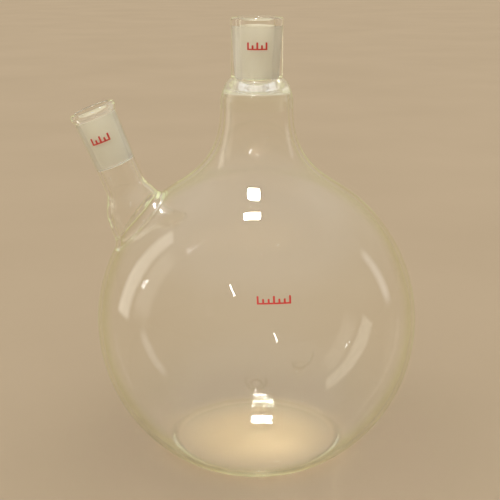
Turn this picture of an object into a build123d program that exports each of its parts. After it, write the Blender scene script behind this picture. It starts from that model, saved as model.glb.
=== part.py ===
from build123d import *
import os
from math import cos, hypot, radians, sin, sqrt

# Two-neck, flat-bottomed boiling flask, 5 litre nominal, borosilicate glass.
# Millimetres, +Z up.  The origin is the middle of the flat underside, on the
# bulb's own axis.  The side arm leans towards -X; the printed marks face -Y.

# ---- bulb ----------------------------------------------------------------
BULB_OD = 223.0            # standard 5 litre bulb
BULB_WALL = 3.0
BULB_Z = 95.0              # height of the bulb's centre over the underside
FLOOR_T = 5.5              # glass at the flattened floor
HEEL_OUT = 12.0            # radius rolled between underside and bulb, outside
HEEL_IN = 10.0             # the same inside
BULB_R = BULB_OD / 2
BULB_RI = BULB_R - BULB_WALL

# ---- neck, drawn up out of the bulb --------------------------------------
SHOULDER_ANGLE = 38.5      # degrees from the top where the bulb turns into the neck
SHOULDER_PULL = 22.0       # curve handle along the bulb's tangent
NECK_PULL_OUT = 41.0       # curve handle down the neck, outside
NECK_PULL_IN = 42.4        # the same inside
NECK_OD = 49.0
NECK_WALL = 2.6
NECK_SEAL_Z = 244.0        # cut where the shoulder ring is sealed on; the neck is upright here
NECK_STRAIGHT_Z = 248.6    # above this the ring turns in
NECK_TOP_Z = 252.0
NECK_TOP_R = 24.0
NECK_TOP_RI = NECK_TOP_R - NECK_WALL
NECK_R = NECK_OD / 2
NECK_RI = NECK_R - NECK_WALL

# ---- ground taper of both joints, standard 24/40 -------------------------
TAPER_TOP_R = 24.0 / 2     # ground bore at the mouth
TAPER_LEN = 40.0
TAPER_LOW_R = TAPER_TOP_R - TAPER_LEN / 10 / 2    # 1 in 10 on the diameter

# ---- centre joint --------------------------------------------------------
CENTRE_R = 34.4 / 2
CENTRE_LOW_Z = 264.0
MOUTH_Z = CENTRE_LOW_Z + TAPER_LEN
MOUTH_ROUND_OUT = 2.0
MOUTH_ROUND_IN = 1.2

# ---- side arm: depths are measured down its own axis from its mouth ------
SIDE_TILT = 21.5           # degrees from upright
SIDE_MOUTH_X = -110.5
SIDE_MOUTH_Z = 245.5
BEAD_R = 31.6 / 2
BEAD_ROUND = 2.2           # rounding of the bead's top edge
BEAD_BLEND_TOP = 3.4       # depths between which the bead blends into the body
BEAD_BLEND_LOW = 6.4
BEAD_BLEND_R = 4.2
LIP = 1.0                  # depth and width of the rounded lip inside the mouth
LIP_INSET = 0.05           # narrowing of the bore where the lip ends
BODY_TOP_R = 28.4 / 2
BODY_LOW_R = 26.6 / 2
JOINT_END = TAPER_LEN + 1.0    # the taper and a 1 mm step out to the tube
TUBE_RI = 10.9
TUBE_END = 56.0            # where the bell-shaped foot begins
FOOT_TOP_R = 27.0 / 2
FOOT_TOP_RI = FOOT_TOP_R - 2.4
FOOT_R = 41.0 / 2
FOOT_RI = FOOT_R - 2.6
FOOT_END = 112.0           # reaches inside the bulb, then trimmed

# ---- fired-on marks: combs of ticks standing on a bar --------------------
INK = 0.06
BAR_H = 0.9
TICK_W = 1.2
CAPACITY_MARK_Z = 141.4
CAPACITY_BAR_DROP = 2.35   # underside of the bar below the mark's middle
JOINT_BAR_DROP = 2.45      # the same on both joints
JOINT_MARK_X = -1.6        # middle of both joint marks, across the joint
CENTRE_MARK_Z = 286.0
SIDE_MARK_DEPTH = 20.0
MARK_BAND_H = 20.0         # height of the ink shell each joint mark is cut from

# The side arm's own frame: x runs across the arm, y runs up its axis.
tilt = radians(SIDE_TILT)
side_across = Vector(cos(tilt), 0, sin(tilt))
side_up = Vector(-sin(tilt), 0, cos(tilt))
side_mouth = Vector(SIDE_MOUTH_X, 0, SIDE_MOUTH_Z)
side_plane = Plane(origin=side_mouth, x_dir=side_across, z_dir=(0, -1, 0))
side_axis = Axis(side_mouth, side_up)

# Outside of the foot, shared with the opening it fills: (radius, -depth).
FOOT_SHOULDER = (FOOT_TOP_R, -TUBE_END)
FOOT_BELL_END = (FOOT_R, -79)
FOOT_LOW = (FOOT_R + 0.5, -FOOT_END)
FOOT_BELL = [FOOT_SHOULDER, (FOOT_TOP_R, -62), (FOOT_R - 0.2, -67), FOOT_BELL_END]


def heel_points(sphere_r, floor_z, roll_r):
    """Start, middle and end of the roll that touches a level floor and the sphere."""
    roll_z = floor_z + roll_r
    centre_gap = sphere_r - roll_r
    roll_x = sqrt(centre_gap**2 - (BULB_Z - roll_z) ** 2)
    reach = sphere_r / centre_gap
    on_floor = (roll_x, floor_z)
    on_sphere = (roll_x * reach, BULB_Z - (BULB_Z - roll_z) * reach)
    # the arc's middle lies from the roll's centre through the chord's middle
    chord_x = (on_floor[0] + on_sphere[0]) / 2 - roll_x
    chord_z = (on_floor[1] + on_sphere[1]) / 2 - roll_z
    stretch = roll_r / hypot(chord_x, chord_z)
    middle = (roll_x + chord_x * stretch, roll_z + chord_z * stretch)
    return on_floor, middle, on_sphere


def shoulder_points(sphere_r):
    """Where the sphere turns into the neck, and the curve handle that leaves it."""
    angle = radians(SHOULDER_ANGLE)
    x = sphere_r * sin(angle)
    z = BULB_Z + sphere_r * cos(angle)
    return (x, z), (x - SHOULDER_PULL * cos(angle), z + SHOULDER_PULL * sin(angle))


def side_body_r(depth):
    """Outside radius of the side joint's tapering body."""
    slope = (BODY_TOP_R - BODY_LOW_R) / (JOINT_END - BEAD_BLEND_LOW)
    return BODY_LOW_R + slope * (JOINT_END - depth)


def comb_bars(middle_x, bottom, count, pitch, tall, short, tall_every):
    """Bar and ticks of a mark, each as (centre, width, height)."""
    span = pitch * (count - 1)
    bars = [((middle_x, bottom + BAR_H / 2), span + TICK_W, BAR_H)]
    for i in range(count):
        height = tall if i % tall_every == 0 else short
        x = middle_x - span / 2 + pitch * i
        bars.append(((x, bottom + height / 2), TICK_W, height))
    return bars


# 1 ---- blown bulb with its flattened floor and drawn-up neck -------------
floor_out, heel_mid_out, heel_end_out = heel_points(BULB_R, 0.0, HEEL_OUT)
floor_in, heel_mid_in, heel_end_in = heel_points(BULB_RI, FLOOR_T, HEEL_IN)
shoulder_out, handle_out = shoulder_points(BULB_R)
shoulder_in, handle_in = shoulder_points(BULB_RI)
seal_out = (NECK_R, NECK_SEAL_Z)
seal_in = (NECK_RI, NECK_SEAL_Z)

with BuildPart() as flask_bulb:
    with BuildSketch(Plane.XZ):
        with BuildLine():
            Line((0, 0), floor_out)
            ThreePointArc(floor_out, heel_mid_out, heel_end_out)
            ThreePointArc(heel_end_out, (BULB_R, BULB_Z), shoulder_out)
            Bezier(shoulder_out, handle_out, (NECK_R, NECK_SEAL_Z - NECK_PULL_OUT), seal_out)
            Line(seal_out, seal_in)
            Bezier(seal_in, (NECK_RI, NECK_SEAL_Z - NECK_PULL_IN), handle_in, shoulder_in)
            ThreePointArc(shoulder_in, (BULB_RI, BULB_Z), heel_end_in)
            ThreePointArc(heel_end_in, heel_mid_in, floor_in)
            Line(floor_in, (0, FLOOR_T))
            Line((0, FLOOR_T), (0, 0))
        make_face()
    revolve(axis=Axis.Z)
    # opening for the side arm: the arm's foot is let in through the whole wall
    with BuildSketch(side_plane):
        with BuildLine():
            Line((0, -TUBE_END), FOOT_SHOULDER)
            Bezier(*FOOT_BELL)
            Line(FOOT_BELL_END, FOOT_LOW)
            Line(FOOT_LOW, (0, -FOOT_END))
            Line((0, -FOOT_END), (0, -TUBE_END))
        make_face()
    revolve(axis=side_axis, mode=Mode.SUBTRACT)

# 2 ---- thick ring of glass that closes the neck in to the joint ----------
TURN_RISE = 1.4            # handles of the short curves that turn the ring in
TURN_DROP = 0.9
TURN_OUT = 0.22
turn_out = (NECK_R, NECK_STRAIGHT_Z)
turn_in = (NECK_RI, NECK_STRAIGHT_Z)
ring_top_out = (NECK_TOP_R, NECK_TOP_Z)
ring_top_in = (NECK_TOP_RI, NECK_TOP_Z)
ring_end_out = (CENTRE_R + 0.1, CENTRE_LOW_Z)
ring_end_in = (TAPER_LOW_R, CENTRE_LOW_Z)

with BuildPart() as neck_shoulder_seal:
    with BuildSketch(Plane.XZ):
        with BuildLine():
            Line(seal_out, turn_out)
            Bezier(turn_out, (NECK_R, NECK_STRAIGHT_Z + TURN_RISE),
                   (NECK_TOP_R + TURN_OUT, NECK_TOP_Z - TURN_DROP), ring_top_out)
            Bezier(ring_top_out, (23.1, 255.6), (20.8, 262.8), ring_end_out)
            Line(ring_end_out, ring_end_in)
            Bezier(ring_end_in, (TAPER_LOW_R + 0.8, 257.6), (21.2, 258.4), ring_top_in)
            Bezier(ring_top_in, (NECK_TOP_RI + TURN_OUT, NECK_TOP_Z - TURN_DROP),
                   (NECK_RI, NECK_STRAIGHT_Z + TURN_RISE), turn_in)
            Line(turn_in, seal_in)
            Line(seal_in, seal_out)
        make_face()
    revolve(axis=Axis.Z)

# 3 ---- centre joint: ground 24/40 socket, fire-polished lip --------------
with BuildPart() as centre_joint:
    with BuildSketch(Plane.XZ):
        with BuildLine():
            Polyline((TAPER_LOW_R, CENTRE_LOW_Z), (CENTRE_R, CENTRE_LOW_Z),
                     (CENTRE_R, MOUTH_Z), (TAPER_TOP_R, MOUTH_Z), close=True)
        make_face()
    revolve(axis=Axis.Z)
    # the outer rim first, then the bore's; the first fillet renews the edges
    for rim, round_r in ((-1, MOUTH_ROUND_OUT), (0, MOUTH_ROUND_IN)):
        circles = centre_joint.edges().filter_by(GeomType.CIRCLE)
        fillet(circles.group_by(Axis.Z)[-1].sort_by(SortBy.RADIUS)[rim], round_r)

# 4 ---- side joint: ground 24/40 socket with a rolled bead at its mouth ---
bead_top = (BEAD_R - BEAD_ROUND, 0)
bead_side = (BEAD_R, -BEAD_ROUND)
blend_top = (BEAD_R, -BEAD_BLEND_TOP)
blend_low = (BODY_TOP_R, -BEAD_BLEND_LOW)
joint_end_out = (BODY_LOW_R, -JOINT_END)
joint_end_in = (TUBE_RI, -JOINT_END)
taper_end = (TAPER_LOW_R, -TAPER_LEN)
lip_low = (TAPER_TOP_R - LIP_INSET, -LIP)
lip_top = (TAPER_TOP_R + LIP, 0)

with BuildPart() as side_joint:
    with BuildSketch(side_plane):
        with BuildLine():
            Line(lip_top, bead_top)
            RadiusArc(bead_top, bead_side, BEAD_ROUND)
            Line(bead_side, blend_top)
            RadiusArc(blend_top, blend_low, BEAD_BLEND_R)
            Line(blend_low, joint_end_out)
            Line(joint_end_out, joint_end_in)
            Line(joint_end_in, taper_end)
            Line(taper_end, lip_low)
            RadiusArc(lip_low, lip_top, LIP + LIP_INSET)
        make_face()
    revolve(axis=side_axis)

# 5 ---- plain tube between the side joint and the foot --------------------
foot_top_in = (FOOT_TOP_RI, -TUBE_END)

with BuildPart() as side_arm_tube:
    with BuildSketch(side_plane):
        with BuildLine():
            Polyline(joint_end_in, joint_end_out, FOOT_SHOULDER, foot_top_in, close=True)
        make_face()
    revolve(axis=side_axis)

# 6 ---- bell-shaped foot that spreads the arm on to the bulb --------------
foot_low_in = (FOOT_RI, -FOOT_END)
bell_end_in = (FOOT_RI - 0.1, -80)

with BuildPart() as side_arm_foot:
    with BuildSketch(side_plane):
        with BuildLine():
            Line(foot_top_in, FOOT_SHOULDER)
            Bezier(*FOOT_BELL)
            Line(FOOT_BELL_END, FOOT_LOW)
            Line(FOOT_LOW, foot_low_in)
            Line(foot_low_in, bell_end_in)
            Bezier(bell_end_in, (FOOT_RI - 0.3, -68), (FOOT_TOP_RI, -62.5), foot_top_in)
        make_face()
    revolve(axis=side_axis)
    # it ends flush with the bulb's inner surface
    with Locations((0, 0, BULB_Z)):
        Sphere(BULB_RI, mode=Mode.SUBTRACT)

# Each mark is a comb pushed out towards -Y and cut down to a skin of ink.
# 7 ---- capacity mark, fired on to the bulb -------------------------------
with BuildPart() as capacity_mark:
    with BuildSketch(Plane.XZ.offset(85)):
        for centre, width, height in comb_bars(
            middle_x=0, bottom=CAPACITY_MARK_Z - CAPACITY_BAR_DROP,
            count=7, pitch=3.3, tall=4.6, short=3.0, tall_every=3,
        ):
            with Locations(centre):
                Rectangle(width, height)
    extrude(amount=30)
    with Locations((0, 0, BULB_Z)):
        Sphere(BULB_R + INK, mode=Mode.INTERSECT)
        Sphere(BULB_R, mode=Mode.SUBTRACT)

# 8 ---- size mark on the centre joint -------------------------------------
with BuildPart() as centre_joint_mark:
    with BuildSketch(Plane.XZ.offset(8)):
        for centre, width, height in comb_bars(
            middle_x=JOINT_MARK_X, bottom=CENTRE_MARK_Z - JOINT_BAR_DROP,
            count=5, pitch=3.05, tall=4.9, short=3.1, tall_every=2,
        ):
            with Locations(centre):
                Rectangle(width, height)
    extrude(amount=14)
    with Locations((0, 0, CENTRE_MARK_Z)):
        Cylinder(CENTRE_R + INK, MARK_BAND_H, mode=Mode.INTERSECT)
        Cylinder(CENTRE_R, MARK_BAND_H, mode=Mode.SUBTRACT)

# 9 ---- size mark on the side joint ---------------------------------------
band_top = SIDE_MARK_DEPTH - MARK_BAND_H / 2
band_low = SIDE_MARK_DEPTH + MARK_BAND_H / 2
band_top_r = side_body_r(band_top)
band_low_r = side_body_r(band_low)

with BuildPart() as side_joint_mark:
    with BuildSketch(side_plane.offset(5)):
        for centre, width, height in comb_bars(
            middle_x=JOINT_MARK_X, bottom=-SIDE_MARK_DEPTH - JOINT_BAR_DROP,
            count=5, pitch=2.95, tall=4.9, short=3.1, tall_every=2,
        ):
            with Locations(centre):
                Rectangle(width, height)
    extrude(amount=12)
    with BuildSketch(side_plane):
        with BuildLine():
            Polyline((band_top_r, -band_top), (band_top_r + INK, -band_top),
                     (band_low_r + INK, -band_low), (band_low_r, -band_low), close=True)
        make_face()
    revolve(axis=side_axis, mode=Mode.INTERSECT)

# ---- one STEP file for each piece ----------------------------------------
pieces = {
    "flask_bulb": flask_bulb,
    "neck_shoulder_seal": neck_shoulder_seal,
    "centre_joint": centre_joint,
    "side_joint": side_joint,
    "side_arm_tube": side_arm_tube,
    "side_arm_foot": side_arm_foot,
    "capacity_mark": capacity_mark,
    "centre_joint_mark": centre_joint_mark,
    "side_joint_mark": side_joint_mark,
}
os.makedirs("parts", exist_ok=True)
for name, piece in pieces.items():
    piece.part.label = name
    export_step(piece.part, f"parts/{name}.step")
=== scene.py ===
# A flat-based globe flask of clear glass with two ground joints and red enamel marks.
# It stands on z = 0 with the centre joint upright on the Z axis. The side arm leans towards -X
# in the XZ plane, and the marks face -Y. Shapes are worked out in millimetres and made in metres.
import math

import bpy
import numpy as np
from mathutils import Matrix, Vector
from mathutils.geometry import delaunay_2d_cdt


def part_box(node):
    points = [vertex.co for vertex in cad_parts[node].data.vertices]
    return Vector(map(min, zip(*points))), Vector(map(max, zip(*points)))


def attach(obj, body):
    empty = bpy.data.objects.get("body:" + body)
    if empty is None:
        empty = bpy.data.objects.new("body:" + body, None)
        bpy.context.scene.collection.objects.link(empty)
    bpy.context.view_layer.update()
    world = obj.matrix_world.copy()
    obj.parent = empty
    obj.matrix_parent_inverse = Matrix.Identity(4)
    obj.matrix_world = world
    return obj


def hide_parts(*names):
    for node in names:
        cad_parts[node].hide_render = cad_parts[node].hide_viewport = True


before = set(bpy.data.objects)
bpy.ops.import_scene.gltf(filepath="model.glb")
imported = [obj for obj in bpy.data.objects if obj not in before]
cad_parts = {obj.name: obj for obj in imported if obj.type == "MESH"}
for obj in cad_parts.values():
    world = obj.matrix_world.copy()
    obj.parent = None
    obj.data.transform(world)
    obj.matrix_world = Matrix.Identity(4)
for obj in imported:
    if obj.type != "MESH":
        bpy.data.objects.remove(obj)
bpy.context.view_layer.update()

# ---------------------------------------------------------------- sizes, in millimetres
SEAL_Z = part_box("flask_bulb")[1].z * 1000.0       # the neck ends here, under the shoulder ring
joint_low, joint_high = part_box("centre_joint")
CENTRE_LOW, CENTRE_TOP, CENTRE_R = joint_low.z * 1000.0, joint_high.z * 1000.0, 17.2

BULB_R, BULB_Z, BULB_WALL = 111.5, 95.0, 3.0
BULB_IN_R = BULB_R - BULB_WALL
FLOOR_Z = 5.5                                     # top of the thick base, inside the bulb
BULB_CENTRE = np.array([0.0, 0.0, BULB_Z])
HEEL_OUT_R, HEEL_IN_R = 12.0, 10.0                # rounding between the base and the globe
NECK_R, NECK_WALL = 24.5, 2.6
NECK_IN_R = NECK_R - NECK_WALL
NECK_ANGLE = 38.5                                 # degrees from +Z where the neck leaves the globe
NECK_HANDLE = 22                                  # length of the curve handle at that place

# The side arm's own frame: its origin is the middle of its mouth, its Z points out of the mouth.
ARM_TILT = math.radians(21.5)
ARM_MOUTH = np.array([-110.5, 0.0, 245.5])
ARM_X = np.array([math.cos(ARM_TILT), 0.0, math.sin(ARM_TILT)])
ARM_Y = np.array([0.0, 1.0, 0.0])
ARM_Z = np.array([-math.sin(ARM_TILT), 0.0, math.cos(ARM_TILT)])
ARM_FRAME = (ARM_MOUTH, ARM_X, ARM_Y, ARM_Z)
UPRIGHT = (np.zeros(3), *np.eye(3))

SIDE_LEN = 41.0                                   # side joint, from its mouth to the tube
SIDE_LOW_R, SIDE_TOP_R, SIDE_TOP_DEPTH = 13.3, 14.2, 7.2
BEAD_R = 15.8                                     # bead round the side joint's mouth
TUBE_IN_R = 10.9
FOOT_DEPTH = 56.0                                 # the foot starts this far below the mouth
FOOT_R, FOOT_WALL, FLARE_R = 13.5, 2.4, 20.5
FOOT_IN_R = FOOT_R - FOOT_WALL
WELD_OUT, WELD_IN = 6.0, 5.0                      # reach of the weld fillets from their corner

N_AROUND, N_ARM = 288, 216                        # segments round the flask and round the arm
BODY, SEAM, GROUND = 0, 1, 2                      # material slots of every piece


# ---------------------------------------------------------------- profiles
def unit(v):
    return v / np.linalg.norm(v, axis=-1)[..., None]


# Each curve gives points (radius, height) and walking directions.
def bez(p0, p1, p2, p3, n):
    t = np.linspace(0, 1, n)[:, None]
    p0, p1, p2, p3 = (np.array(p, float) for p in (p0, p1, p2, p3))
    points = (1 - t) ** 3 * p0 + 3 * (1 - t) ** 2 * t * p1 + 3 * (1 - t) * t * t * p2 + t ** 3 * p3
    dirs = 3 * (1 - t) ** 2 * (p1 - p0) + 6 * (1 - t) * t * (p2 - p1) + 3 * t * t * (p3 - p2)
    return points, dirs


def arc(centre, radius, start, end, n):
    a = np.radians(np.linspace(start, end, n))
    points = np.stack([centre[0] + radius * np.cos(a), centre[1] + radius * np.sin(a)], 1)
    turn = 1.0 if end > start else -1.0
    return points, np.stack([-np.sin(a) * turn, np.cos(a) * turn], 1)


def seg(start, end, n=2):
    t = np.linspace(0, 1, n)[:, None]
    start, end = np.array(start, float), np.array(end, float)
    return start + (end - start) * t, np.repeat((end - start)[None], n, 0)


def joined(parts):
    """One curve from several that follow on; shared end points are kept once."""
    points = [parts[0][0]] + [p[1:] for p, _ in parts[1:]]
    dirs = [parts[0][1]] + [d[1:] for _, d in parts[1:]]
    return np.concatenate(points), unit(np.concatenate(dirs))


def right_normal(dirs):
    """Normal on the right of the walk: a profile is walked with the glass on its left."""
    return unit(np.stack([dirs[:, 1], -dirs[:, 0]], 1))


def inside(poly, points):
    """Which of the points lie inside the polygon."""
    x, y = points[:, 0][:, None], points[:, 1][:, None]
    xi, yi = poly[:, 0][None], poly[:, 1][None]
    xk, yk = np.roll(poly[:, 0], 1)[None], np.roll(poly[:, 1], 1)[None]
    span = (yi > y) != (yk > y)
    with np.errstate(divide="ignore", invalid="ignore"):
        hit = span & (x < (xk - xi) * (y - yi) / (yk - yi) + xi)
    return hit.sum(1) % 2 == 1


def loop_edges(first, n):
    return [(first + k, first + (k + 1) % n) for k in range(n)]


def triangulate(points, edges):
    """Delaunay triangles over flat points that keep the given edges, as point indices."""
    _, _, faces, origins, _, _ = delaunay_2d_cdt(
        [Vector(p) for p in points.tolist()], edges, [], 0, 1e-9, True)
    back = [o[0] for o in origins]
    return np.array([[back[i] for i in f] for f in faces])


# ---------------------------------------------------------------- mesh builder
class Build:
    """Gathers patches of points, corner normals and faces, then welds them into one object."""

    def __init__(self, name):
        self.name, self.count = name, 0
        self.points, self.along, self.faces = [], [], []

    def add(self, points, normals, faces, slot, along=None):
        self.points.append(points)
        self.along.append(np.zeros(len(points)) if along is None else along)
        for f in faces:
            self.faces.append(([self.count + i for i in f], normals[list(f)], slot))
        self.count += len(points)

    def grid(self, points, normals, slot, along=None, hole=None):
        """Rows along the profile by closed columns round the axis, with an optional hole."""
        rows, cols = points.shape[:2]
        (i0, i1), (j0, j1) = hole or ((0, 0), (0, 0))
        faces = []
        for i in range(rows - 1):
            for j in range(cols):
                if i0 <= i < i1 and j0 <= j < j1:
                    continue
                k = (j + 1) % cols
                faces.append((i * cols + j, i * cols + k, (i + 1) * cols + k, (i + 1) * cols + j))
        along = None if along is None else along.reshape(-1)
        self.add(points.reshape(-1, 3), normals.reshape(-1, 3), faces, slot, along)

    def make(self, materials):
        points, along = np.concatenate(self.points), np.concatenate(self.along)
        # points that share a 0.0002 mm cell are one; the shift keeps round sizes off cell edges
        cell = np.round(points * 5000.0 + 0.31415).astype(np.int64)
        _, first, weld = np.unique(cell, axis=0, return_index=True, return_inverse=True)
        weld = weld.reshape(-1)
        points, along = points[first], along[first]
        faces, normals, slots = [], [], []
        for size in (3, 4):
            group = [f for f in self.faces if len(f[0]) == size]
            if not group:
                continue
            corners = weld[np.array([f[0] for f in group])]
            corner_normals = np.array([f[1] for f in group], float)
            p = points[corners]
            facing = np.cross(p[:, 1] - p[:, 0], p[:, 2] - p[:, 0])
            if size == 4:
                facing = facing + np.cross(p[:, 2] - p[:, 0], p[:, 3] - p[:, 0])
            flip = (facing * corner_normals.sum(1)).sum(1) < 0
            corners[flip] = corners[flip][:, ::-1]
            corner_normals[flip] = corner_normals[flip][:, ::-1]
            for face, normal, (_, _, slot) in zip(corners.tolist(), corner_normals, group):
                # drops doubled corners at the poles
                keep = [i for i in range(size) if face[i] != face[i - 1]]
                if len(keep) > 2:
                    faces.append([face[i] for i in keep])
                    normals.append(normal[keep])
                    slots.append(slot)
        used = np.zeros(len(points), bool)
        for face in faces:
            used[face] = True
        renumber = np.cumsum(used) - 1
        points, along = points[used], along[used]
        faces = [[int(renumber[i]) for i in face] for face in faces]
        normals = np.concatenate(normals)
        normals /= np.maximum(np.linalg.norm(normals, axis=1), 1e-9)[:, None]

        mesh = bpy.data.meshes.new(self.name)
        mesh.from_pydata((points * 0.001).tolist(), [], faces)
        mesh.polygons.foreach_set("material_index", slots)
        mesh.polygons.foreach_set("use_smooth", [True] * len(faces))
        attribute = mesh.attributes.new("along_mm", "FLOAT", "POINT")
        attribute.data.foreach_set("value", along.astype(np.float32))
        for material in materials:
            mesh.materials.append(material)
        mesh.update()
        mesh.normals_split_custom_set(normals.tolist())
        made = bpy.data.objects.new(self.name, mesh)
        bpy.context.scene.collection.objects.link(made)
        return made


def revolve(points, dirs, n, frame=UPRIGHT):
    """Points and normals of a profile turned round the frame's Z, rows by columns."""
    origin, x, y, z = frame
    a = np.arange(n) * 2 * math.pi / n
    ring = np.cos(a)[:, None] * x + np.sin(a)[:, None] * y
    flat = right_normal(dirs)

    def turned(rz):
        return rz[:, 0][:, None, None] * ring[None], rz[:, 1][:, None, None] * z

    out, up = turned(points)
    normal_out, normal_up = turned(flat)
    return origin + out + up, normal_out + normal_up


def lathe(build, pieces, n, frame=UPRIGHT):
    """Turns the runs (points, directions, slot) of a closed profile."""
    for points, dirs, slot in pieces:
        along = np.repeat(points[:, 1][:, None], n, 1)
        build.grid(*revolve(points, dirs, n, frame), slot, along)


# ---------------------------------------------------------------- shader helpers
def add_node(tree, kind, inputs=None, **props):
    """Adds a node; inputs maps each socket to its value or to the output that feeds it."""
    made = tree.nodes.new(kind)
    for key, value in props.items():
        setattr(made, key, value)
    for socket, value in (inputs or {}).items():
        if isinstance(value, bpy.types.NodeSocket):
            tree.links.new(value, made.inputs[socket])
        else:
            made.inputs[socket].default_value = value
    return made


def compute(tree, operation, *values):
    return add_node(tree, "ShaderNodeMath", dict(enumerate(values)), operation=operation).outputs[0]


def map_range(tree, value, source=(0.0, 1.0), target=(0.0, 1.0), **props):
    return add_node(tree, "ShaderNodeMapRange", {
        "Value": value, "From Min": source[0], "From Max": source[1],
        "To Min": target[0], "To Max": target[1]}, **props).outputs["Result"]


def noise(tree, coords, scale, detail, roughness=0.5):
    return add_node(tree, "ShaderNodeTexNoise", {
        "Vector": coords, "Scale": scale, "Detail": detail, "Roughness": roughness}).outputs["Fac"]


def bump(tree, height, strength, distance):
    return add_node(tree, "ShaderNodeBump", {
        "Strength": strength, "Distance": distance, "Height": height}).outputs["Normal"]


def ramp(tree, factor, stops):
    """Colour ramp through stops of (position, colour)."""
    made = add_node(tree, "ShaderNodeValToRGB", {0: factor})
    elements = made.color_ramp.elements
    while len(elements) < len(stops):
        elements.new(0.5)
    for element, (position, colour) in zip(elements, stops):
        element.position, element.color = position, (*colour, 1.0)
    return made.outputs[0]


def new_material(name):
    material = bpy.data.materials.new(name)
    material.use_nodes = True
    material.node_tree.nodes.clear()
    return material, material.node_tree


def object_coords(tree):
    return add_node(tree, "ShaderNodeTexCoord").outputs["Object"]


def set_surface(tree, inputs, kind="ShaderNodeBsdfPrincipled"):
    shader = add_node(tree, kind, inputs)
    add_node(tree, "ShaderNodeOutputMaterial", {"Surface": shader.outputs["BSDF"]})


# ---------------------------------------------------------------- materials
IOR = 1.473
BOUNCES = 24                                      # bounces followed inside the glass
PAINTED_WALL_GLOW, PAINTED_HEEL_GLOW = 0.25, 0.56                      # strength of the painted glow that stands in for light caught in the wall
FACE_COLOUR, EDGE_COLOUR = (0.998, 1.0, 0.985), (0.68, 0.82, 0.12)


def glass_material(name, face=FACE_COLOUR, edge=EDGE_COLOUR, ripple=0.10, wave_scale=34.0,
                   rough=0.0):
    """Clear borosilicate: yellow-green depth at the edges, blown ripple, a trace of haze, and a
    painted glow where light is held in the wall.
    """
    material, tree = new_material(name)
    coords = object_coords(tree)
    # body colour deepens where the glass is seen along its wall
    facing = add_node(tree, "ShaderNodeLayerWeight", {"Blend": 0.35}).outputs["Facing"]
    colour = ramp(tree, facing, [(0.0, face), (0.50, face), (1.0, edge)])
    # handling haze: soft drifting patches, a little off the polish
    haze = noise(tree, coords, scale=16.0, detail=3.0)
    roughness = map_range(tree, haze, source=(0.45, 0.8), target=(rough, rough + 0.012))
    # blown-glass ripple: long soft waves, a little finer along the height
    stretched = add_node(tree, "ShaderNodeMapping", {"Vector": coords, "Scale": (1.0, 1.0, 1.7)})
    waves = noise(tree, stretched.outputs["Vector"], scale=wave_scale, detail=1.0, roughness=0.35)
    # painted glow: where a path reaches the bounce limit inside the wall, the glass emits a soft
    # yellow-green glow in place of the light caught there, strongest in the heel of the base
    # (heights here are in metres)
    ray_depth = add_node(tree, "ShaderNodeLightPath").outputs["Ray Depth"]
    at_bounce_limit = compute(tree, "GREATER_THAN", ray_depth, BOUNCES - 1.5)
    height = add_node(tree, "ShaderNodeSeparateXYZ", {0: coords}).outputs["Z"]
    painted_glow = map_range(tree, height, source=(0.004, 0.018), target=(PAINTED_HEEL_GLOW, PAINTED_WALL_GLOW))
    set_surface(tree, {
        "Transmission Weight": 1.0,
        "IOR": IOR,
        "Base Color": colour,
        "Roughness": roughness,
        "Normal": bump(tree, waves, strength=ripple, distance=0.0012),
        "Emission Color": (0.87, 0.87, 0.48, 1.0),
        "Emission Strength": compute(tree, "MULTIPLY", at_bounce_limit, painted_glow),
    })
    return material


def seam_material():
    """Fused seams between pieces of glass don't show."""
    material, tree = new_material("fused_seam")
    set_surface(tree, {}, "ShaderNodeBsdfTransparent")
    return material


def ground_material():
    """Ground glass: fine grey-white tooth with faint turned rings along the taper."""
    material, tree = new_material("ground_taper")
    coords = object_coords(tree)
    along = add_node(tree, "ShaderNodeAttribute", attribute_name="along_mm").outputs["Fac"]
    rings = add_node(tree, "ShaderNodeTexNoise", {
        "W": along, "Scale": 1.6, "Detail": 4.0, "Roughness": 0.7},
        noise_dimensions="1D").outputs["Fac"]
    cloud = noise(tree, coords, scale=120.0, detail=5.0)
    tooth = noise(tree, coords, scale=2600.0, detail=2.0)
    # half rings, half cloud
    mottle = compute(tree, "MULTIPLY_ADD", rings, 0.5, compute(tree, "MULTIPLY", cloud, 0.5))
    height = compute(tree, "MULTIPLY_ADD", tooth, 0.55, rings)
    set_surface(tree, {
        "IOR": IOR,
        "Base Color": ramp(tree, mottle, [(0.25, (0.95, 0.92, 0.78)), (0.75, (1.0, 0.98, 0.87))]),
        "Roughness": map_range(tree, mottle, target=(0.42, 0.62)),
        "Transmission Weight": 0.3,
        "Normal": bump(tree, height, strength=0.25, distance=0.00012),
    })
    return material


def enamel_material():
    """Fired-on red enamel: slightly uneven cover with an orange-peel surface."""
    material, tree = new_material("red_enamel")
    cover = noise(tree, object_coords(tree), scale=900.0, detail=4.0)
    set_surface(tree, {
        "Base Color": ramp(tree, cover, [(0.2, (0.36, 0.012, 0.008)), (0.55, (0.56, 0.022, 0.014)),
                                         (0.85, (0.68, 0.07, 0.045))]),
        "Roughness": map_range(tree, cover, target=(0.32, 0.6)),
        "Normal": bump(tree, cover, strength=0.3, distance=0.00005),
    })
    return material


clear = glass_material("clear_borosilicate")
tube_glass = glass_material("drawn_tube_glass", ripple=0.08, wave_scale=70.0)
worked = glass_material("flame_worked_glass", edge=(0.68, 0.78, 0.20), ripple=0.36,
                        wave_scale=95.0)
ring_glass = glass_material("fused_ring_glass", face=(0.995, 1.0, 0.955), edge=(0.72, 0.80, 0.24),
                            ripple=0.14, wave_scale=60.0, rough=0.13)
seam = seam_material()
ground = ground_material()
enamel = enamel_material()


# ---------------------------------------------------------------- bulb profile
def heel(radius, floor, roll):
    """Centre of the rolled heel and the angle, seen from the globe's centre, where it ends."""
    z = floor + roll
    reach = radius - roll
    r = math.sqrt(reach * reach - (BULB_Z - z) ** 2)
    return (r, z), math.degrees(math.atan2(-(BULB_Z - z), r))


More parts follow.
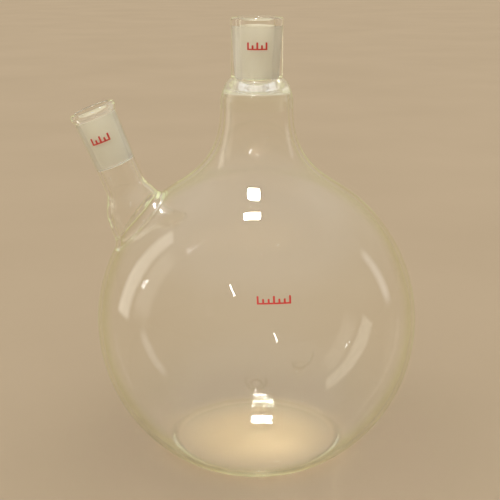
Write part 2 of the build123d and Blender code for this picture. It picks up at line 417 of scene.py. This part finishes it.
def neck_start(radius):
    """Where the neck leaves a globe of this radius, and the curve handle there."""
    cos, sin = math.cos(math.radians(NECK_ANGLE)), math.sin(math.radians(NECK_ANGLE))
    r, z = radius * sin, BULB_Z + radius * cos
    return (r, z), (r - NECK_HANDLE * cos, z + NECK_HANDLE * sin)


HEEL_OUT, HEEL_OUT_END = heel(BULB_R, 0.0, HEEL_OUT_R)
HEEL_IN, HEEL_IN_END = heel(BULB_IN_R, FLOOR_Z, HEEL_IN_R)
GLOBE_TOP = 90.0 - NECK_ANGLE
NECK_OUT = (*neck_start(BULB_R), (NECK_R, SEAL_Z - 41.0), (NECK_R, SEAL_Z))
NECK_IN = ((NECK_IN_R, SEAL_Z), (NECK_IN_R, SEAL_Z - 42.4), *neck_start(BULB_IN_R)[::-1])


def outer_parts(heel_n, globe_n, neck_n):
    return [arc(HEEL_OUT, HEEL_OUT_R, -90, HEEL_OUT_END, heel_n),
            arc((0, BULB_Z), BULB_R, HEEL_OUT_END, GLOBE_TOP, globe_n),
            bez(*NECK_OUT, neck_n)]


def inner_parts(heel_n, globe_n, neck_n):
    return [bez(*NECK_IN, neck_n),
            arc((0, BULB_Z), BULB_IN_R, GLOBE_TOP, HEEL_IN_END, globe_n),
            arc(HEEL_IN, HEEL_IN_R, HEEL_IN_END, -90, heel_n)]


MESH_COUNTS, FINE_COUNTS = (12, 84, 38), (60, 1500, 500)
outer_profile = joined([seg((0, 0), (HEEL_OUT[0], 0), 10), *outer_parts(*MESH_COUNTS)])
inner_profile = joined([*inner_parts(*MESH_COUNTS), seg((HEEL_IN[0], FLOOR_Z), (0, FLOOR_Z), 10)])


def polar(v):
    """Angle from +Z."""
    return np.arctan2(np.hypot(v[..., 0], v[..., 1]), v[..., 2])


class Shell:
    """A surface of revolution seen from the bulb's centre: radius and normal by polar angle."""

    def __init__(self, points, normals):
        angle = np.arctan2(points[:, 0], points[:, 1] - BULB_Z)
        order = np.argsort(angle)
        self.angle = angle[order]
        self.radius = np.hypot(points[:, 0], points[:, 1] - BULB_Z)[order]
        self.normal_r, self.normal_z = normals[order, 0], normals[order, 1]

    def radius_at(self, angle):
        return np.interp(angle, self.angle, self.radius)

    def point(self, dirs):
        return BULB_CENTRE + dirs * self.radius_at(polar(dirs))[:, None]

    def normal(self, dirs):
        h = np.hypot(dirs[:, 0], dirs[:, 1])
        angle = polar(dirs)
        r = np.interp(angle, self.angle, self.normal_r)
        z = np.interp(angle, self.angle, self.normal_z)
        return unit(np.stack([dirs[:, 0] / h * r, dirs[:, 1] / h * r, z], 1))

    def normal_near(self, points):
        return self.normal(unit(points - BULB_CENTRE))

    def depth(self, points):
        """Positive outside the surface."""
        v = points - BULB_CENTRE
        return np.linalg.norm(v, axis=-1) - self.radius_at(polar(v))


# sampled finely enough to cut against; both keep normals that point away from the bulb's centre
fine_points, fine_dirs = joined(outer_parts(*FINE_COUNTS))
outer_shell = Shell(fine_points, right_normal(fine_dirs))
fine_points, fine_dirs = joined(inner_parts(*FINE_COUNTS))
inner_shell = Shell(fine_points, -right_normal(fine_dirs))


# ---------------------------------------------------------------- side-arm foot and its weld
def foot_curve(top_r, handle_low, knee, end_r):
    """Radius against height in the arm's frame: a flare, then a nearly straight run."""
    points, _ = joined([bez((top_r, -FOOT_DEPTH), (top_r, handle_low[0]), handle_low[1], knee, 60),
                        seg(knee, (end_r, -112), 30)])
    return points


foot_out = foot_curve(FOOT_R, (-62, (FLARE_R - 0.2, -67)), (FLARE_R, -79), FLARE_R + 0.5)
foot_in = foot_curve(FOOT_IN_R, (-62.5, (FLARE_R - 2.9, -68)), (FLARE_R - 2.7, -80),
                     FLARE_R - 2.6)
arm_angle = np.arange(N_ARM) * 2 * math.pi / N_ARM
ARM_RING = np.cos(arm_angle)[:, None] * ARM_X + np.sin(arm_angle)[:, None] * ARM_Y


def foot_radius(curve, depth):
    return np.interp(depth, -curve[:, 1], curve[:, 0])


def foot_slope(curve, depth, step=0.15):
    return (foot_radius(curve, depth + step) - foot_radius(curve, depth - step)) / (2 * step)


def foot_points(curve, depth):
    """Points round the arm, each at its depth below the mouth."""
    return ARM_MOUTH + foot_radius(curve, depth)[..., None] * ARM_RING - depth[..., None] * ARM_Z


def cut_depth(curve, shell):
    """Depth, round the arm, at which the curve meets the shell; found by halving."""
    high, low = np.full(N_ARM, FOOT_DEPTH + 1.0), np.full(N_ARM, 111.0)
    for _ in range(50):
        mid = (high + low) / 2
        outside = shell.depth(foot_points(curve, mid)) > 0
        high, low = np.where(outside, mid, high), np.where(outside, low, mid)
    return (high + low) / 2


def weld_curve(curve, shell, reach):
    """Cut depth, direction away from the arm's axis, and the fillet's control loops:
    on the bulb, at the corner and on the foot."""
    depth = cut_depth(curve, shell)
    corner = foot_points(curve, depth)
    away = unit(corner - (ARM_MOUTH - depth[:, None] * ARM_Z))
    normal = shell.normal_near(corner)
    along = unit(away - (away * normal).sum(-1)[..., None] * normal)
    on_shell = shell.point(unit(corner + along * reach - BULB_CENTRE))
    return depth, away, (on_shell, corner, foot_points(curve, depth - reach))


depth_out, away_out, weld_out = weld_curve(foot_out, outer_shell, WELD_OUT)
depth_in, away_in, weld_in = weld_curve(foot_in, inner_shell, WELD_IN)


def strip_normals(points, dirs, outward):
    """Normals of rows of points round a closed loop, turned to the given side."""
    across = np.roll(points, -1, 1) - np.roll(points, 1, 1)
    n = unit(np.cross(across, dirs))
    return n * np.sign((n * outward).sum(-1))[..., None]


def fillet(weld, t, outward):
    """Rows of a quadratic fillet at the places t, with their normals."""
    a, b, c = weld
    t = t[:, None, None]
    points = (1 - t) ** 2 * a + 2 * (1 - t) * t * b + t * t * c
    dirs = 2 * (1 - t) * (b - a) + 2 * t * (c - b)
    return points, strip_normals(points, dirs, outward)


# each fillet is split at its middle: the bulb has one half, the foot the other
HALF = np.linspace(0, 0.5, 15)
OTHER_HALF = 1.0 - HALF[::-1]
outward_out = outer_shell.normal_near(weld_out[1]) + away_out
outward_in = -(inner_shell.normal_near(weld_in[1]) + away_in)
bulb_fillet_out, bulb_normals_out = fillet(weld_out, HALF, outward_out)
bulb_normals_out[0] = outer_shell.normal_near(weld_out[0])
bulb_fillet_in, bulb_normals_in = fillet(weld_in, HALF, outward_in)
bulb_normals_in[0] = -inner_shell.normal_near(weld_in[0])

# the seam runs through the wall between the two middles
through = bulb_fillet_in[-1] - bulb_fillet_out[-1]
weld_seam = bulb_fillet_out[-1] + through * np.linspace(0, 1, 3)[:, None, None]
weld_seam_normals = strip_normals(weld_seam, np.repeat(through[None], 3, 0), -away_out)


# ---------------------------------------------------------------- 1 flask_bulb
HOLE_MARGIN = 7.0                                 # degrees of open grid round the arm's hole
RING_OFFSETS = (2.0, 4.5, 7.5)                    # rings of points round the hole, ever sparser


def fill_window(build, grid_points, grid_normals, rows, cols, loop, shell, side):
    """Fills rows x cols of the grid round a hole with edge loop, all points on the shell."""
    (i0, i1), (j0, j1) = rows, cols
    pole = unit(loop.mean(0) - BULB_CENTRE)
    flat_x = unit(np.cross(pole, [0.0, 1.0, 0.0]))
    flat_y = np.cross(pole, flat_x)

    def flat(points):
        """Stereographic map of the directions from the bulb's centre."""
        d = unit(points - BULB_CENTRE)
        w = 1.0 + d @ pole
        return np.stack([d @ flat_x / w, d @ flat_y / w], -1) * 2.0

    border = [(i0, j) for j in range(j0, j1)] + [(i, j1) for i in range(i0, i1)] + \
             [(i1, j) for j in range(j1, j0, -1)] + [(i, j0) for i in range(i1, i0, -1)]
    border_points = np.array([grid_points[i, j] for i, j in border])
    border_normals = np.array([grid_normals[i, j] for i, j in border])
    flat_border, flat_loop = flat(border_points), flat(loop)
    centre = flat_loop.mean(0)
    size = np.linalg.norm(flat_loop - centre, axis=1).mean() * BULB_R
    shrunk = flat_border * 0.97 + flat_border.mean(0) * 0.03
    extra = []
    for k, offset in enumerate(RING_OFFSETS):
        grown = centre + (flat_loop - centre) * (1 + offset / size)
        ring = grown[::k + 1]
        extra.append(ring[inside(shrunk, ring)])
    hull = centre + (grown - centre) * 1.04
    rest = flat(grid_points[i0 + 1:i1, j0 + 1:j1].reshape(-1, 3))
    extra.append(rest[~inside(hull, rest)])
    extra = np.concatenate(extra)
    square = (extra ** 2).sum(1)[:, None]
    dirs = unit((4.0 - square) * pole + 4.0 * (extra[:, :1] * flat_x + extra[:, 1:] * flat_y))

    points = np.concatenate([border_points, loop, shell.point(dirs)])
    normals = np.concatenate([border_normals, side * shell.normal_near(loop),
                              side * shell.normal(dirs)])
    flat_points = flat(points)
    edges = loop_edges(0, len(border)) + loop_edges(len(border), len(loop))
    faces = triangulate(flat_points, edges)
    middle = flat_points[faces].mean(1)
    keep = ~inside(flat_loop, middle) & inside(flat_border, middle)
    build.add(points, normals, faces[keep].tolist(), BODY)


def bulb_surface(build, profile, shell, loop, side):
    """One side of the bulb's wall, turned round Z, with a hole for the side arm."""
    profile_points = profile[0]
    points, normals = revolve(*profile, N_AROUND)
    angle = np.degrees(np.arctan2(profile_points[:, 0], profile_points[:, 1] - BULB_Z))
    dirs = unit(loop - BULB_CENTRE)
    hole_angle = np.degrees(polar(dirs))
    hole_turn = np.degrees(np.arctan2(dirs[:, 1], dirs[:, 0])) % 360
    low, high = hole_angle.min() - HOLE_MARGIN, hole_angle.max() + HOLE_MARGIN
    window = [i for i in range(len(angle)) if low < angle[i] < high and profile_points[i, 0] > 20]
    rows = min(window), max(window)
    step = 360.0 / N_AROUND
    cols = (int((hole_turn.min() - HOLE_MARGIN) / step),
            int((hole_turn.max() + HOLE_MARGIN) / step) + 1)
    build.grid(points, normals, BODY, hole=(rows, cols))
    fill_window(build, points, normals, rows, cols, loop, shell, side)


def make_bulb():
    build = Build("flask_bulb_glass")
    bulb_surface(build, outer_profile, outer_shell, weld_out[0], side=1.0)
    bulb_surface(build, inner_profile, inner_shell, weld_in[0], side=-1.0)
    lathe(build, [(*seg((NECK_R, SEAL_Z), (NECK_IN_R, SEAL_Z)), SEAM)], N_AROUND)
    build.grid(bulb_fillet_out, bulb_normals_out, BODY)
    build.grid(bulb_fillet_in, bulb_normals_in, BODY)
    build.grid(weld_seam, weld_seam_normals, SEAM)
    return build.make([clear, seam])


# ---------------------------------------------------------------- 2 side_arm_foot
def foot_wall(curve, end_depth, t, side):
    """Points, normals and depths of a foot wall from its top to end_depth, at the places t."""
    depth = FOOT_DEPTH + t[:, None] * (end_depth - FOOT_DEPTH)[None]
    normals = side * unit(ARM_RING[None] + foot_slope(curve, depth)[..., None] * ARM_Z)
    return foot_points(curve, depth), normals, depth


def make_foot():
    build = Build("side_arm_foot_glass")
    t = np.linspace(0, 1, 40)
    points_out, normals_out, depths_out = foot_wall(foot_out, depth_out - WELD_OUT, t, 1.0)
    points_in, normals_in, depths_in = foot_wall(foot_in, depth_in - WELD_IN, t[::-1], -1.0)
    build.grid(points_out, normals_out, BODY, depths_out)
    fillet_points, fillet_normals = fillet(weld_out, OTHER_HALF, outward_out)
    fillet_normals[-1], fillet_normals[0] = normals_out[-1], bulb_normals_out[-1]
    build.grid(fillet_points, fillet_normals, BODY)
    build.grid(weld_seam, -weld_seam_normals, SEAM)
    fillet_points, fillet_normals = fillet(weld_in, OTHER_HALF, outward_in)
    fillet_normals[-1], fillet_normals[0] = normals_in[0], bulb_normals_in[-1]
    build.grid(fillet_points, fillet_normals, BODY)
    build.grid(points_in, normals_in, BODY, depths_in)
    cap = np.stack([points_in[-1], points_out[0]])
    build.grid(cap, np.broadcast_to(ARM_Z, cap.shape), SEAM)
    return build.make([worked, seam])


# ---------------------------------------------------------------- 3 side_arm_tube
def make_tube():
    build = Build("side_arm_tube_glass")
    lathe(build, [
        (*seg((SIDE_LOW_R, -SIDE_LEN), (TUBE_IN_R, -SIDE_LEN)), SEAM),
        (*seg((TUBE_IN_R, -SIDE_LEN), (FOOT_IN_R, -FOOT_DEPTH), 8), BODY),
        (*seg((FOOT_IN_R, -FOOT_DEPTH), (FOOT_R, -FOOT_DEPTH)), SEAM),
        (*seg((FOOT_R, -FOOT_DEPTH), (SIDE_LOW_R, -SIDE_LEN), 8), BODY),
    ], N_ARM, ARM_FRAME)
    return build.make([tube_glass, seam])


# ---------------------------------------------------------------- ground bore of both joints
TAPER_LEN = 40.0
BORE_STEP, STEP_LEN = 0.12, 0.3                   # the clear lip is this much wider, then steps in


def taper(depth):
    """Radius of the ground bore at a depth below the mouth."""
    return 12.0 - 2.0 * depth / TAPER_LEN


GRIND_LOW_R = taper(TAPER_LEN)


def lip_radius(depth):
    return taper(depth) + BORE_STEP


def ground_bore(top, lip, grind, end, lip_n, grind_n):
    """The bore from depth lip: clear glass down to depth grind, then ground to height end."""
    grind_top = (taper(grind + STEP_LEN), top - grind - STEP_LEN)
    lip_low = (lip_radius(grind), top - grind)
    return [(*seg((lip_radius(lip), top - lip), lip_low, lip_n), BODY),
            (*seg(lip_low, grind_top), GROUND),
            (*seg(grind_top, (GRIND_LOW_R, end), grind_n), GROUND)]


# ---------------------------------------------------------------- 4 side_joint
def make_side_joint():
    build = Build("side_joint_glass")
    top_r, top_z, bead, low = SIDE_TOP_R, -SIDE_TOP_DEPTH, BEAD_R, GRIND_LOW_R
    lathe(build, [
        (*seg((SIDE_LOW_R, -SIDE_LEN), (top_r, top_z), 20), BODY),
        # the bead swells out, rounds over and rolls into the mouth
        (*bez((top_r, top_z), (top_r + 0.03, -6.0), (bead - 1.3, -5.3), (bead - 0.35, -4.1), 9),
         BODY),
        (*bez((bead - 0.35, -4.1), (bead + 0.12, -3.5), (bead + 0.05, -2.2), (bead - 0.25, -1.5),
              9), BODY),
        (*bez((bead - 0.25, -1.5), (bead - 0.75, -0.35), (bead - 1.7, 0.0), (bead - 2.6, 0.0), 10),
         BODY),
        (*bez((bead - 2.6, 0.0), (12.7, 0.0), (12.15, -0.4), (lip_radius(1.4), -1.4), 8), BODY),
        *ground_bore(top=0.0, lip=1.4, grind=6.6, end=-TAPER_LEN, lip_n=6, grind_n=40),
        (*bez((low, -TAPER_LEN), (low, -40.35), (TUBE_IN_R, -40.3), (TUBE_IN_R, -SIDE_LEN), 6),
         BODY),
        (*seg((TUBE_IN_R, -SIDE_LEN), (SIDE_LOW_R, -SIDE_LEN)), SEAM),
    ], N_ARM, ARM_FRAME)
    return build.make([tube_glass, seam, ground])


# ---------------------------------------------------------------- 5 neck_shoulder_seal
def make_shoulder():
    build = Build("neck_shoulder_seal_glass")
    collar_z, knee_z = 248.6, 252.0               # top of the straight collar, start of the slope
    knee_out, knee_in = (24.0, knee_z), (21.4, knee_z)
    lathe(build, [
        (*seg((NECK_R, SEAL_Z), (NECK_R, collar_z), 6), BODY),
        (*bez((NECK_R, collar_z), (NECK_R, 250.0), (24.22, 251.1), knee_out, 6), BODY),
        (*bez(knee_out, (23.1, 255.6), (20.8, 262.8), (CENTRE_R + 0.1, CENTRE_LOW), 40), BODY),
        (*seg((CENTRE_R + 0.1, CENTRE_LOW), (CENTRE_R, CENTRE_LOW)), BODY),
        (*seg((CENTRE_R, CENTRE_LOW), (GRIND_LOW_R, CENTRE_LOW)), SEAM),
        (*bez((GRIND_LOW_R, CENTRE_LOW), (10.8, 257.6), (21.2, 258.4), knee_in, 60), BODY),
        (*bez(knee_in, (21.62, 251.1), (NECK_IN_R, 250.0), (NECK_IN_R, collar_z), 6), BODY),
        (*seg((NECK_IN_R, collar_z), (NECK_IN_R, SEAL_Z), 6), BODY),
        (*seg((NECK_IN_R, SEAL_Z), (NECK_R, SEAL_Z)), SEAM),
    ], N_AROUND)
    return build.make([ring_glass, seam])


# ---------------------------------------------------------------- 6 centre_joint
def make_centre_joint():
    build = Build("centre_joint_glass")
    r, top, rim = CENTRE_R, CENTRE_TOP, CENTRE_R + 0.22
    lathe(build, [
        (*seg((r, CENTRE_LOW), (r, top - 9.0), 24), BODY),
        (*bez((r, top - 9.0), (r, top - 6.0), (rim, top - 5.0), (rim, top - 2.2), 8), BODY),
        (*bez((rim, top - 2.2), (rim, top - 0.8), (r - 0.7, top), (r - 2.0, top), 10), BODY),
        (*seg((r - 2.0, top), (13.5, top), 3), BODY),
        (*bez((13.5, top), (12.9, top), (12.35, top - 0.5), (lip_radius(1.6), top - 1.6), 8), BODY),
        *ground_bore(top=top, lip=1.6, grind=5.7, end=CENTRE_LOW, lip_n=5, grind_n=42),
        (*seg((GRIND_LOW_R, CENTRE_LOW), (r, CENTRE_LOW)), SEAM),
    ], N_AROUND)
    return build.make([tube_glass, seam, ground])


bulb = make_bulb()
foot = make_foot()
tube = make_tube()
side_joint = make_side_joint()
shoulder = make_shoulder()
centre_joint = make_centre_joint()

# ---------------------------------------------------------------- 7 enamel marks
FILM_LOW, FILM_TOP = 0.012, 0.06                  # heights of the film's faces over the glass
BAR_H, TICK_W, CORNER_R = 0.9, 1.2, 0.22


def comb(centre_x, level, drop, width, ticks, tall, short, every):
    """Outline of a bar with upright ticks, every so many of them tall, on a base line drop
    below level; corners rounded, walked counter-clockwise."""
    base = level - drop
    left = centre_x - width / 2
    sharp = [(left, base), (centre_x + width / 2, base)]
    pitch = (width - TICK_W) / (ticks - 1)
    for i in range(ticks - 1, -1, -1):
        x = left + pitch * i
        height = tall if i % every == 0 else short
        if i < ticks - 1:
            sharp.append((x + TICK_W, base + BAR_H))
        sharp += [(x + TICK_W, base + height), (x, base + height)]
        if i > 0:
            sharp.append((x, base + BAR_H))
    rounded = []
    n = len(sharp)
    for k in range(n):
        before, corner, after = (np.array(sharp[(k + e) % n]) for e in (-1, 0, 1))
        back, ahead = before - corner, after - corner
        back_len, ahead_len = np.linalg.norm(back), np.linalg.norm(ahead)
        reach = min(CORNER_R, back_len * 0.45, ahead_len * 0.45)
        start, end = corner + back / back_len * reach, corner + ahead / ahead_len * reach
        for t in (0, 0.25, 0.5, 0.75, 1):
            rounded.append((1 - t) ** 2 * start + 2 * (1 - t) * t * corner + t * t * end)
    outline = [rounded[0]]
    for p in rounded[1:]:
        if np.linalg.norm(p - outline[-1]) > 0.02:
            outline.append(p)
    return np.array(outline)


def film(name, outline, place):
    """A thin closed film: place(xy, height) gives the points and the outward normals."""
    rim = []
    for start, end in zip(outline, np.roll(outline, -1, 0)):
        # long edges are broken so that they follow the curve
        parts = max(1, int(np.linalg.norm(end - start) / 0.45))
        rim += [start + (end - start) * i / parts for i in range(parts)]
    rim = np.array(rim)

    def rim_gap(points):
        return np.min(np.linalg.norm(points[:, None] - rim[None], axis=2), axis=1)

    low, high = rim.min(0), rim.max(0)
    x, y = np.meshgrid(*(np.arange(low[k] + 0.2, high[k], 0.42) for k in (0, 1)))
    fill = np.stack([x.ravel(), y.ravel()], 1)
    flat = np.concatenate([rim, fill[inside(rim, fill) & (rim_gap(fill) > 0.16)]])
    n = len(rim)
    faces = triangulate(flat, loop_edges(0, n))
    faces = faces[inside(rim, flat[faces].mean(1))].tolist()
    top, normals = place(flat, FILM_TOP)
    bottom, _ = place(flat, FILM_LOW)
    # the film's top sinks a little at its edge, as fired enamel does
    edge = np.minimum(1.0, rim_gap(flat) / 0.3)
    top = bottom + (top - bottom) * (0.45 + 0.55 * edge)[:, None]
    build = Build(name)
    build.add(top, normals, faces, BODY)
    build.add(bottom, -normals, faces, BODY)
    ahead = np.roll(rim, -1, 0) - np.roll(rim, 1, 0)
    out = np.stack([ahead[:, 1], -ahead[:, 0]], 1)
    nudge = out * 1e-3 / np.maximum(np.linalg.norm(out, axis=1), 1e-9)[:, None]
    sideways = unit(place(rim + nudge, 0.0)[0] - place(rim, 0.0)[0])
    build.grid(np.stack([bottom[:n], top[:n]]),
               np.stack([sideways, unit(sideways + normals[:n])]), BODY)
    return build.make([enamel])


def on_bulb(flat, height):
    x, z = flat[:, 0], flat[:, 1]
    y = -np.sqrt(BULB_R * BULB_R - x * x - (z - BULB_Z) ** 2)
    normal = unit(np.stack([x, y, z - BULB_Z], 1))
    return np.stack([x, y, z], 1) + normal * height, normal


def on_centre_joint(flat, height):
    a = flat[:, 0] / CENTRE_R
    zero = np.zeros(len(flat))
    normal = np.stack([np.sin(a), -np.cos(a), zero], 1)
    return normal * (CENTRE_R + height) + np.stack([zero, zero, flat[:, 1]], 1), normal


def on_side_joint(flat, height):
    depth = -flat[:, 1]
    slope = (SIDE_TOP_R - SIDE_LOW_R) / (SIDE_LEN - SIDE_TOP_DEPTH)
    r = SIDE_LOW_R + slope * (SIDE_LEN - depth)
    a = flat[:, 0] / 13.9                         # wrapped at a mean radius
    normal = np.sin(a)[:, None] * ARM_X - np.cos(a)[:, None] * ARM_Y
    return ARM_MOUTH + normal * (r + height)[:, None] - depth[:, None] * ARM_Z, normal


JOINT_TICKS = dict(centre_x=-1.6, drop=2.45, ticks=5, tall=4.9, short=3.1, every=2)
capacity_mark = film("capacity_mark_enamel", comb(
    centre_x=0.0, level=141.4, drop=2.35, width=21.0, ticks=7, tall=4.6, short=3.0, every=3),
    on_bulb)
centre_mark = film("centre_joint_mark_enamel", comb(level=286.0, width=13.4, **JOINT_TICKS),
                   on_centre_joint)
side_mark = film("side_joint_mark_enamel", comb(level=-20.0, width=13.0, **JOINT_TICKS),
                 on_side_joint)

for piece, part, slot_name in (
    (bulb, "flask_bulb", "clear_glass"),
    (foot, "side_arm_foot", "clear_glass"),
    (tube, "side_arm_tube", "clear_glass"),
    (shoulder, "neck_shoulder_seal", "clear_glass"),
    (side_joint, "side_joint", "ground_glass"),
    (centre_joint, "centre_joint", "ground_glass"),
    (capacity_mark, "capacity_mark", "mark_enamel"),
    (centre_mark, "centre_joint_mark", "mark_enamel"),
    (side_mark, "side_joint_mark", "mark_enamel"),
):
    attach(piece, "root")
    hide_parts(part)


# ---------------------------------------------------------------- stage (metres from here on)
def floor_material():
    material, tree = new_material("pale_floor")
    coords = object_coords(tree)
    cloth = ramp(tree, noise(tree, coords, scale=3.0, detail=6.0),
                 [(0.3, (0.565, 0.455, 0.325)), (0.7, (0.60, 0.485, 0.35))])
    # painted light: a soft warm pool painted into the floor colour inside the flask's footprint,
    # standing in for the light the flask gathers there
    distance = add_node(tree, "ShaderNodeVectorMath", {0: coords}, operation="LENGTH")
    painted_light_pool = map_range(tree, distance.outputs["Value"], source=(0.015, 0.085), target=(1.0, 0.0),
                     interpolation_type="SMOOTHSTEP")
    # sockets 0, 6 and 7 are the factor and the two colours
    mixed = add_node(tree, "ShaderNodeMix", {0: painted_light_pool, 6: cloth, 7: (0.92, 0.70, 0.42, 1.0)},
                     data_type="RGBA")
    set_surface(tree, {"Base Color": mixed.outputs[2], "Roughness": 0.85,
                       "Specular IOR Level": 0.2})
    return material


def make_floor(radius=40, z=-0.0002, n=96):
    """A wide disc just under the base."""
    material = floor_material()
    mesh = bpy.data.meshes.new("floor")
    rim = [(radius * math.cos(2 * math.pi * i / n), radius * math.sin(2 * math.pi * i / n), z)
           for i in range(n)]
    mesh.from_pydata([(0, 0, z)] + rim, [], [(0, 1 + i, 1 + (i + 1) % n) for i in range(n)])
    mesh.materials.append(material)
    floor = bpy.data.objects.new("floor", mesh)
    bpy.context.scene.collection.objects.link(floor)


make_floor()

# ---------------------------------------------------------------- light
CAMERA_AZ = math.radians(-6.0)                    # the camera stands a little towards the side arm


def soften_edges(light, width):
    """Fades the light towards its edges, so that its image in the glass has a soft outline."""
    light.use_nodes = True
    tree = light.node_tree
    tree.nodes.clear()
    place = add_node(tree, "ShaderNodeNewGeometry").outputs["Parametric"]
    split = add_node(tree, "ShaderNodeSeparateXYZ", {0: place})
    fades = []
    for axis in ("X", "Y"):
        from_middle = compute(tree, "ABSOLUTE", compute(tree, "SUBTRACT", split.outputs[axis], 0.5))
        to_edge = compute(tree, "SUBTRACT", 0.5, from_middle)
        fades.append(map_range(tree, to_edge, source=(0.0, width),
                               interpolation_type="SMOOTHSTEP"))
    emission = add_node(tree, "ShaderNodeEmission", {"Strength": compute(tree, "MULTIPLY", *fades)})
    add_node(tree, "ShaderNodeOutputLight", {"Surface": emission.outputs[0]})


def area_light(name, location, rotation, size, radiance, colour=(1, 1, 1), soft=0.0,
               diffuse=True, pieces=None):
    """A rectangular light of a given brightness, kept to some pieces if any are given.
    Without diffuse, it gives the glass its sparkle and casts no hard shadow."""
    light = bpy.data.lights.new(name, "AREA")
    light.shape = "RECTANGLE"
    light.size, light.size_y = size
    light.energy = radiance * math.pi * size[0] * size[1]
    light.color = colour
    if soft:
        soften_edges(light, soft)
    lamp = bpy.data.objects.new(name, light)
    bpy.context.scene.collection.objects.link(lamp)
    lamp.location, lamp.rotation_euler = location, rotation
    lamp.visible_diffuse = diffuse
    lamp.visible_camera = False                   # the room behind stays plain from every side
    if pieces:
        receivers = bpy.data.collections.new(name + "_on")
        for receiver in pieces:
            receivers.objects.link(receiver)
        lamp.light_linking.receiver_collection = receivers


def panel(name, azimuth, distance, height, aim_z=None, roll=0.0, **light):
    """An area light facing the Z axis, level unless aim_z is given. Azimuth is in degrees
    from the camera's own, + to its right; distance is horizontal."""
    a = math.radians(azimuth) + CAMERA_AZ
    location = Vector((distance * math.sin(a), -distance * math.cos(a), height))
    target = Vector((0, 0, height if aim_z is None else aim_z))
    rotation = (target - location).to_track_quat("-Z", "Y").to_euler()
    if roll:
        turn = Matrix.Rotation(math.radians(roll), 3, "Z")
        rotation = (rotation.to_matrix() @ turn).to_euler()
    area_light(name, location, rotation, **light)


GLASS = [bulb, foot, tube, shoulder]
FROSTED = [side_joint, centre_joint, capacity_mark, centre_mark, side_mark]
# tall windows at both sides: their images are the long crescents on the bulb
panel("window_left_far", azimuth=-103.5, distance=1.00, height=0.513, size=(0.235, 1.02),
      radiance=1.35, colour=(1.0, 0.97, 0.86), soft=0.04, pieces=GLASS + FROSTED)
panel("window_left_near", azimuth=-85.5, distance=1.00, height=0.500, size=(0.360, 0.98),
      radiance=0.65, colour=(1.0, 0.97, 0.86), soft=0.26, pieces=GLASS + FROSTED)
panel("window_right", azimuth=107.5, distance=2.6, height=0.80, size=(0.40, 1.60),
      radiance=1.0, colour=(0.98, 0.99, 1.0), soft=0.22, pieces=GLASS + FROSTED)
# a ceiling lamp almost overhead, kept dimmer on the ground glass
for lamp_name, lamp_radiance, lit in (("lamp_top", 320.0, GLASS), ("lamp_top_low", 90.0, FROSTED)):
    area_light(lamp_name, location=(-0.050, 0.098, 1.62), rotation=(0.0, 0.0, CAMERA_AZ),
               size=(0.22, 0.145), radiance=lamp_radiance, colour=(1.0, 0.985, 0.95),
               diffuse=False, pieces=lit)
panel("fill_front", azimuth=-20.0, distance=1.5, height=1.2, aim_z=0.2, size=(1.2, 1.0),
      radiance=6.5, colour=(1.0, 0.97, 0.88), soft=0.3, pieces=FROSTED)
panel("gap_left", azimuth=-91.6, distance=0.95, height=0.386, size=(0.006, 0.080),
      radiance=40.0, diffuse=False)
panel("strip_front", azimuth=-19.6, distance=1.60, height=1.245, aim_z=0.15, roll=32.0,
      size=(0.030, 0.30), radiance=40.0, diffuse=False)


def make_world():
    """A warm room, pale overhead; the ramp runs from straight down to straight up."""
    world = bpy.data.worlds.new("studio")
    bpy.context.scene.world = world
    world.use_nodes = True
    tree = world.node_tree
    tree.nodes.clear()
    direction = add_node(tree, "ShaderNodeTexCoord").outputs["Generated"]
    up = add_node(tree, "ShaderNodeSeparateXYZ", {0: direction}).outputs["Z"]
    colour = ramp(tree, map_range(tree, up, source=(-1.0, 1.0)), [
        (0.0, (0.50, 0.385, 0.25)), (0.50, (0.505, 0.39, 0.255)), (0.56, (0.55, 0.44, 0.31)),
        (0.72, (0.68, 0.60, 0.47)), (0.86, (0.98, 0.94, 0.86)), (1.0, (0.98, 0.96, 0.92))])
    background = add_node(tree, "ShaderNodeBackground", {"Color": colour, "Strength": 1.0})
    add_node(tree, "ShaderNodeOutputWorld", {0: background.outputs[0]})


make_world()


# ---------------------------------------------------------------- camera
def make_camera(distance=0.700, height=0.3412, pitch=15.69, turn=0.377012896):
    """Looks down by pitch and is turned to its left of the Z axis by turn, in degrees."""
    camera = bpy.data.cameras.new("camera")
    camera.sensor_width = 36.0
    camera.lens = 74.952
    camera.clip_start, camera.clip_end = 0.01, 200.0
    holder = bpy.data.objects.new("camera", camera)
    bpy.context.scene.collection.objects.link(holder)
    sin, cos = math.sin(CAMERA_AZ), math.cos(CAMERA_AZ)
    holder.location = (distance * sin, -distance * cos, height)
    pitch = math.radians(pitch)
    forward = Vector((-sin * math.cos(pitch), cos * math.cos(pitch), -math.sin(pitch)))
    forward.rotate(Matrix.Rotation(math.radians(turn), 3, "Z"))
    holder.rotation_euler = forward.to_track_quat("-Z", "Y").to_euler()
    bpy.context.scene.camera = holder


make_camera()

scene = bpy.context.scene
scene.view_settings.view_transform = "Standard"
scene.cycles.max_bounces = BOUNCES
scene.cycles.transmission_bounces = BOUNCES
scene.cycles.transparent_max_bounces = 64
scene.cycles.glossy_bounces = BOUNCES
scene.cycles.diffuse_bounces = 4
scene.cycles.sample_clamp_indirect = 0.0
